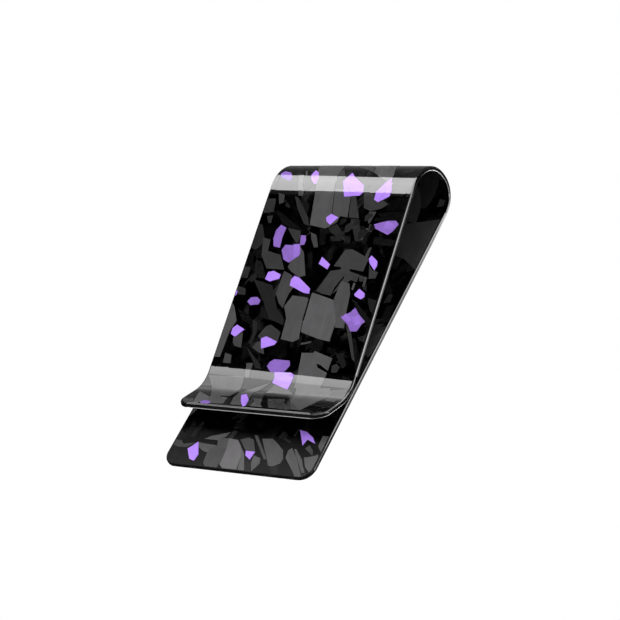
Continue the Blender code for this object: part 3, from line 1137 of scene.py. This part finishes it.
def lay_everything():
    """All chips and flakes, from the deepest to the topmost."""
    rng = random.Random(SEED)
    scatter_chips(rng, OUTER, 0.0, 58.0, 150, (14, 20, 28, 36, 46))
    scatter_chips(rng, OUTER, 58.0, STRIP_LENGTH, 110, (4, 7, 10, 15, 24))
    scatter_chips(rng, INNER, 12.0, STRIP_LENGTH, 220, (12, 18, 24, 32, 42))
    large_chips(rng, OUTER, 0.0, 56.0, 40)
    large_chips(rng, INNER, 11.0, STRIP_LENGTH, 62)
    lay_dark_chips()
    lay_bow_chips()
    lay_upper_chips()
    lay_middle_chips()
    lay_lower_chips()
    lay_lip_chips()
    lay_back_chips()
    scatter_flakes(rng, OUTER, 1.0, 57.0, WIDTH / 2, 38)
    scatter_flakes(rng, INNER, 13.0, 66.0, 0.0, 15)
    scatter_flakes(rng, INNER, 67.0, STRIP_LENGTH - 1.0, WIDTH / 2, 28)
    lay_bow_flakes()
    lay_front_flakes()
    lay_lip_flakes()
    lay_back_flakes()


# The pieces


def bow_part(index):
    """Where one of the bow's four equal parts starts and ends."""
    step = BOW_LENGTH / 4
    return BOW_START + index * step, BOW_START + (index + 1) * step


# Each stretch of strip: its name, where it runs, the bodies it follows and the CAD body it stands for.
STRETCHES = [
    ("back_leg", 0.0, BOW_START, ("back_leg",), "back_leg"),
    ("bow_1", *bow_part(0), ("back_leg", "lower_bow"), "lower_bow"),
    ("bow_2", *bow_part(1), ("lower_bow", "middle_bow"), "middle_bow"),
    ("bow_3", *bow_part(2), ("middle_bow", "upper_bow"), "upper_bow"),
    ("bow_4", bow_part(3)[0], FRONT_CUT, ("upper_bow", "front_leg"), None),
    ("front_leg", FRONT_CUT, LIP_CUT, ("front_leg",), "front_leg"),
    ("lip", LIP_CUT, STRIP_LENGTH, ("front_leg",), None),
]


def attach(item, start, end, bodies):
    """Rides on one body, or bends between two."""
    if len(bodies) == 1:
        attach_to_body(item, bodies[0])
    else:
        end = min(end, BOW_END)
        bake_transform(item, *bodies, start=place(0, start, 0), end=place(0, end, 0))


def add_object(name, mesh, materials):
    """A piece of the clip with its materials."""
    item = bpy.data.objects.new(name, mesh)
    for material in materials:
        mesh.materials.append(material)
    bpy.context.scene.collection.objects.link(item)
    return item


def build_clip():
    """Every piece of the strip with its chips and flakes, keyed by stretch."""
    lay_everything()
    carbon = [ground_material(), rim_material()]
    chips = [chip_material()]
    flakes = [flake_material()]
    made = {}
    for name, start, end, bodies, stands_for in STRETCHES:
        title = "strip_" + name
        strip = add_object(title, strip_mesh(title, start, end), carbon)
        group = [strip]
        for layer, materials in ((CHIPS, chips), (FLAKES, flakes)):
            title = layer.name + "_" + name
            mesh = inlay_mesh(title, layer.slabs, start, end)
            if mesh is not None:
                group.append(add_object(title, mesh, materials))
        for item in group:
            attach(item, start, end, bodies)
            # The lip and the flakes aren't mirrored in the gloss of the other pieces.
            item.visible_glossy = name != "lip" and not item.name.startswith("flakes")
        if stands_for:
            nodes = [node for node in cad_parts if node.startswith(stands_for + "_")]
            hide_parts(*nodes)
        made[name] = group
    return made


# Camera: the direction it looks from and its roll, then its distance from the point it aims at, that
# point, its focal length and its sensor, all in millimetres.


AZIMUTH = math.radians(45.70)
ELEVATION = math.radians(39.025)
ROLL = math.radians(-29.755)
DISTANCE = 265.58
AIM = Vector((1.724, -0.609, 4.655))
LENS = 108.22
SENSOR_WIDTH = 36.0


def add_camera():
    """The camera, a long lens tipped on its side so that the bow's top lies level."""
    flat = math.cos(ELEVATION)
    back = Vector((math.sin(AZIMUTH) * flat, -math.cos(AZIMUTH) * flat, math.sin(ELEVATION)))
    level = Vector((math.cos(AZIMUTH), math.sin(AZIMUTH), 0.0))
    above = back.cross(level)
    right = level * math.cos(ROLL) + above * math.sin(ROLL)
    up = above * math.cos(ROLL) - level * math.sin(ROLL)
    data = bpy.data.cameras.new("camera")
    data.lens = LENS
    data.sensor_width = SENSOR_WIDTH
    data.clip_start = 0.01
    data.clip_end = 10.0
    camera = bpy.data.objects.new("camera", data)
    turn = Matrix((right, up, back)).transposed().to_4x4()
    camera.matrix_world = Matrix.Translation((AIM + back * DISTANCE) * MM) @ turn
    bpy.context.scene.collection.objects.link(camera)
    bpy.context.scene.camera = camera
    return camera


# Light. Strengths are radiances, and 1 is the white of the background.


# What matt surfaces see: the sky's strength, and the key light's strength, direction and soft edge.
DOME = 0.55
KEY = 4.5
KEY_FROM = (-0.48, 0.24, 0.84)
KEY_EDGE = (0.86, 0.97)

# The floor: its glow on the clip, its half width and how far it lies under the clip, in metres.
FLOOR_GLOW = 0.4
FLOOR_SIZE = 3.0
FLOOR_DROP = 0.0002

# How far lamp panels stand from the resin that mirrors them, in metres.
FAR = 0.25
NEAR = 0.004
CLOSE = 0.0015

# How much wider than the strip a face's panel is, and how many columns it has.
PANEL_OVERLAP = 1.4
PANEL_COLUMNS = 8

# A panel glows only for rays whose cosine to its spots' ways is above this, with a soft edge.
FACE_SPREAD = 0.3
RIM_SPREAD = 0.85
SPREAD_EDGE = 0.08

# A faint glow from beyond the bow, and how far towards +Y a ray has to point for it to fade in.
BACK_GLOW = 0.1
BACK_GLOW_EDGE = (0.62, 0.80)

# What the resin mirrors: each softbox by its x, y and z range of directions and its strength.
SOFTBOXES = (
    ((0.80, 0.96), (0.22, 0.50), (-0.5, 0.5), 8.0),
    ((0.55, 0.78), (-0.08, 0.08), (0.6, 0.9), 6.0),
    ((-1.1, 0.60), (-1.1, 0.43), (-1.1, -0.76), 6.0),
)
BOX_EDGE = 0.04


def window(tree, value, low, high):
    """One inside a range of values, with soft ends."""
    rise = ramp(tree, value, low - BOX_EDGE, low + BOX_EDGE)
    fall = ramp(tree, value, high - BOX_EDGE, high + BOX_EDGE, 1.0, 0.0)
    return product(tree, rise, fall)


def add_world():
    """White to the camera, a soft overhead sky with one large key light for matt surfaces, and a
    dark studio with a few softboxes for reflections."""
    world = bpy.data.worlds.new("studio")
    bpy.context.scene.world = world
    world.use_nodes = True
    tree = world.node_tree
    background = tree.nodes["Background"]
    path = add_node(tree, "LightPath")
    parts = add_node(tree, "SeparateXYZ")
    direction = add_node(tree, "TexCoord").outputs["Generated"]
    tree.links.new(direction, parts.inputs[0])
    mirror = product(tree, ramp(tree, parts.outputs[1], *BACK_GLOW_EDGE), BACK_GLOW)
    for *ranges, strength in SOFTBOXES:
        shape = strength
        for value, (low, high) in zip(parts.outputs, ranges):
            shape = product(tree, window(tree, value, low, high), shape)
        mirror = math_node(tree, "ADD", mirror, shape)
    mirror = product(tree, mirror, path.outputs["Is Glossy Ray"])
    toward_key = add_node(tree, "VectorMath", operation="DOT_PRODUCT")
    toward_key.inputs[1].default_value = Vector(KEY_FROM).normalized()
    tree.links.new(direction, toward_key.inputs[0])
    sky = ramp(tree, parts.outputs[2], -0.2, 0.7, 0.15 * DOME, DOME)
    key = product(tree, ramp(tree, toward_key.outputs["Value"], *KEY_EDGE), KEY)
    matt = math_node(tree, "ADD", sky, key)
    matt = product(tree, matt, path.outputs["Is Diffuse Ray"])
    total = math_node(tree, "ADD", path.outputs["Is Camera Ray"], matt)
    total = math_node(tree, "ADD", total, mirror)
    background.inputs["Color"].default_value = (1.0, 1.0, 1.0, 1.0)
    tree.links.new(total, background.inputs["Strength"])


def glow_material(name, clear=False):
    """An emission material and the socket for its strength. A clear one hides nothing behind it."""
    material = bpy.data.materials.new(name)
    material.use_nodes = True
    tree = material.node_tree
    tree.nodes.clear()
    glow = add_node(tree, "Emission")
    out = add_node(tree, "OutputMaterial")
    surface = glow
    if clear:
        surface = add_node(tree, "AddShader")
        tree.links.new(glow.outputs[0], surface.inputs[0])
        tree.links.new(add_node(tree, "BsdfTransparent").outputs[0], surface.inputs[1])
    tree.links.new(surface.outputs[0], out.inputs["Surface"])
    return material, tree, glow.inputs["Strength"]


def stage_object(name, points, faces, material):
    """A mesh of the studio, which isn't part of the clip."""
    mesh = bpy.data.meshes.new(name)
    mesh.from_pydata(points, [], faces)
    mesh.materials.append(material)
    item = bpy.data.objects.new(name, mesh)
    bpy.context.scene.collection.objects.link(item)
    return item


def add_floor():
    """A plain white floor that glows evenly to the camera and softly to the clip."""
    material, tree, strength = glow_material("floor_white")
    path = add_node(tree, "LightPath")
    matt = product(tree, path.outputs["Is Diffuse Ray"], FLOOR_GLOW)
    tree.links.new(math_node(tree, "ADD", path.outputs["Is Camera Ray"], matt), strength)
    corners = ((-1, -1), (1, -1), (1, 1), (-1, 1))
    points = [(x * FLOOR_SIZE, y * FLOOR_SIZE, -FLOOR_DROP) for x, y in corners]
    floor = stage_object("floor", points, [(0, 1, 2, 3)], material)
    floor.visible_glossy = False


def reflectance(cosine):
    """How much clear resin reflects, by Fresnel's equations."""
    inside = math.sqrt(1 - (1 - cosine * cosine) / RESIN_INDEX**2)
    across = (cosine - RESIN_INDEX * inside) / (cosine + RESIN_INDEX * inside)
    level = (RESIN_INDEX * cosine - inside) / (RESIN_INDEX * cosine + inside)
    return (across * across + level * level) / 2


def mirrored(camera, point, normal, reach, brightness):
    """A lamp spot: where the camera looks after its view is mirrored at a point of the surface, how
    strongly a lamp has to glow there to look this bright in the resin, and the way of that look."""
    view = (point - camera.matrix_world.translation).normalized()
    cosine = -view.dot(normal)
    way = view + normal * (2 * cosine)
    return point + way * reach, brightness / reflectance(cosine), way


def add_panel(name, grid, receivers, spread):
    """A curved lamp panel seen only in the gloss of some pieces. The grid holds rows of lamp spots.
    The panel glows only for rays that run along its spots' ways, within the spread."""
    columns = len(grid[0])
    spots = [spot for row in grid for spot in row]
    faces = []
    for row in range(len(grid) - 1):
        for column in range(columns - 1):
            here = row * columns + column
            faces.append((here, here + 1, here + columns + 1, here + columns))
    material, tree, socket = glow_material(name, clear=True)
    glow = add_node(tree, "Attribute", attribute_name="glow").outputs["Fac"]
    way = add_node(tree, "Attribute", attribute_name="way").outputs["Vector"]
    incoming = add_node(tree, "NewGeometry").outputs["Incoming"]
    aim = add_node(tree, "VectorMath", operation="DOT_PRODUCT")
    tree.links.new(way, aim.inputs[0])
    tree.links.new(incoming, aim.inputs[1])
    facing = ramp(tree, aim.outputs["Value"], -spread - SPREAD_EDGE, -spread, 1.0, 0.0)
    tree.links.new(product(tree, glow, facing), socket)
    panel = stage_object(name, [spot[0] for spot in spots], faces, material)
    attributes = panel.data.attributes
    attributes.new("glow", "FLOAT", "POINT").data.foreach_set("value", [spot[1] for spot in spots])
    ways = [part for spot in spots for part in spot[2]]
    attributes.new("way", "FLOAT_VECTOR", "POINT").data.foreach_set("vector", ways)
    panel.visible_camera = False
    panel.visible_diffuse = False
    panel.visible_shadow = False
    group = bpy.data.collections.new(name + "_receivers")
    for item in receivers:
        group.objects.link(item)
    panel.light_linking.receiver_collection = group


def face_panel(name, camera, side, reach, rows, receivers):
    """A panel whose image lies across one face. A row holds the distance along the strip at the
    face's left and right borders, and how bright the highlight is there."""
    grid = []
    for left, right, brightness in rows:
        line = []
        for column in range(PANEL_COLUMNS + 1):
            share = (column / PANEL_COLUMNS - 0.5) * PANEL_OVERLAP
            along = (left + right) / 2 + (right - left) * share
            point = place(share * WIDTH, along, side * HALF)
            line.append(mirrored(camera, point, outward(along) * side, reach, brightness))
        grid.append(line)
    add_panel(name, grid, receivers, FACE_SPREAD)


def straight_rows(*pairs):
    """Rows for face_panel that run square across the strip, from distances and brightnesses."""
    return [(along, along, brightness) for along, brightness in pairs]


def side_rows(*pairs):
    """Rows for rim_panel on the strip's right edge, from distances and brightnesses."""
    return [(WIDTH / 2, along, 0.0, brightness) for along, brightness in pairs]


def corner_row(turn, brightness):
    """A row for rim_panel on the lip's right corner, where its outline faces this way."""
    turn = math.radians(turn)
    x = WIDTH / 2 - CORNER_RADIUS * (1 - math.cos(turn))
    return x, STRIP_LENGTH - CORNER_RADIUS * (1 - math.sin(turn)), turn, brightness


def end_row(x, brightness):
    """A row for rim_panel on the lip's end."""
    return x, STRIP_LENGTH, math.radians(90), brightness


def rim_panel(name, camera, profile, rows, receivers):
    """A panel whose image lies along the rim. The profile pairs angles over the rounded edge with
    shares of the row's brightness: 0 faces out from the clip, 90 sideways and 180 inward."""
    grid = []
    for x, along, turn, brightness in rows:
        aside = Vector((math.cos(turn), 0.0, 0.0)) + forward(along) * math.sin(turn)
        line = []
        for angle, share in profile:
            sideways = math.sin(math.radians(angle))
            upward = math.cos(math.radians(angle))
            radius = OUTER_FILLET if angle <= 90 else INNER_FILLET
            height = math.copysign(HALF - radius * (1 - abs(upward)), upward)
            point = place(x, along, height) - aside * (radius * (1 - sideways) * MM)
            normal = aside * sideways + outward(along) * upward
            line.append(mirrored(camera, point, normal, NEAR, brightness * share))
        grid.append(line)
    add_panel(name, grid, receivers, RIM_SPREAD)


def add_bands(camera, clip):
    """The wide highlights: on the bow and the lip, and the haze at the back leg's end."""
    top = clip["bow_3"] + clip["bow_4"]
    band = [(64.5, 65.0, 0.47), (65.5, 66.0, 0.51), (67.15, 67.6, 0.46)]
    face_panel("bow_band", camera, OUTER, NEAR, band, top)
    sheen = straight_rows((59.6, 0.09), (61.4, 0.07), (62.2, 0.035), (62.9, 0.012), (63.7, 0.0))
    face_panel("bow_sheen", camera, OUTER, NEAR, sheen, top)
    lip = [(96.72, 97.30, 0.33), (97.86, 98.60, 0.30), (97.90, 98.64, 0.20), (99.5, 99.9, 0.18)]
    lip += [(100.2, 100.4, 0.17), (100.9, 101.0, 0.0)]
    face_panel("lip_band", camera, OUTER, FAR, lip, clip["lip"])
    fade = straight_rows((100.6, 0.0), (101.0, 0.14), (101.6, 0.06), (102.1, 0.02), (102.7, 0.0))
    face_panel("lip_fade", camera, OUTER, CLOSE, fade, clip["lip"])
    haze = straight_rows((-1.0, 0.026), (1.5, 0.024), (5.4, 0.010), (6.9, 0.0))
    face_panel("back_haze", camera, INNER, NEAR, haze, clip["back_leg"])


def add_back_lines(camera, clip):
    """The fine lines along the right edge of the back leg and of the bow."""
    bow = clip["bow_1"] + clip["bow_2"] + clip["bow_3"] + clip["bow_4"]
    rows = side_rows((8.0, 0.01), (15.0, 0.12), (25.0, 0.24), (35.0, 0.26), (45.0, 0.42), (49.0, 0.9))
    rows += side_rows((51.0, 0.9), (53.0, 0.12), (54.5, 0.02), (55.5, 0.0))
    profile = ((60, 1.0), (84, 1.0), (90, 0.7), (91, 0.35), (110, 0.3))
    rim_panel("back_edge", camera, profile, rows, clip["back_leg"] + bow)
    rows = side_rows((4.5, 0.0), (8.0, 0.32), (15.0, 0.36), (25.0, 0.42), (35.0, 0.38))
    rows += side_rows((45.0, 0.52), (50.1, 0.5))
    profile = ((108, 0.4), (118, 1.0), (140, 1.0), (160, 0.3))
    rim_panel("inner_line", camera, profile, rows, clip["back_leg"])
    rows = side_rows((50.1, 0.3), (53.0, 0.34), (55.0, 0.20), (57.0, 0.22), (58.5, 0.0), (60.5, 0.05))
    rows += side_rows((62.0, 0.38), (63.2, 0.13), (64.5, 0.0))
    rim_panel("bow_line", camera, ((112, 1.0), (125, 1.0), (142, 1.0)), rows, bow)


def add_front_lines(camera, clip):
    """The fine lines along the front leg's right edge and round the lip."""
    rows = side_rows((66.5, 0.02), (68.0, 0.06), (72.0, 0.11), (76.0, 0.14), (84.0, 0.17))
    rows += side_rows((92.0, 0.20), (97.0, 0.20))
    profile = ((38, 0.6), (50, 0.9), (62, 1.0), (80, 1.0), (90, 0.8), (91, 0.1))
    rim_panel("front_edge", camera, profile, rows, clip["bow_4"] + clip["front_leg"])
    rows = side_rows((98.0, 0.02), (99.5, 0.12), (101.0, 0.16), (104.5, 0.16))
    rows += [corner_row(*pair) for pair in ((20, 0.14), (45, 0.10), (70, 0.08), (82, 0.0))]
    profile = ((20, 1.0), (32, 1.0), (45, 1.0), (58, 1.0))
    rim_panel("lip_edge", camera, profile, rows, clip["lip"])
    rows = side_rows((97.5, 0.0), (99.0, 0.25), (104.5, 0.25))
    rows += [corner_row(turn, 0.2) for turn in range(10, 90, 10)]
    rows += [end_row(x, 0.4) for x in (10.4, 5.0, 0.0, -5.0, -10.4)]
    profile = ((96, 1.0), (110, 1.0), (130, 1.0), (150, 1.0))
    rim_panel("lip_line", camera, profile, rows, clip["lip"])


clip = build_clip()
camera = add_camera()
add_world()
add_floor()
add_bands(camera, clip)
add_back_lines(camera, clip)
add_front_lines(camera, clip)
bpy.context.scene.view_settings.view_transform = "Standard"
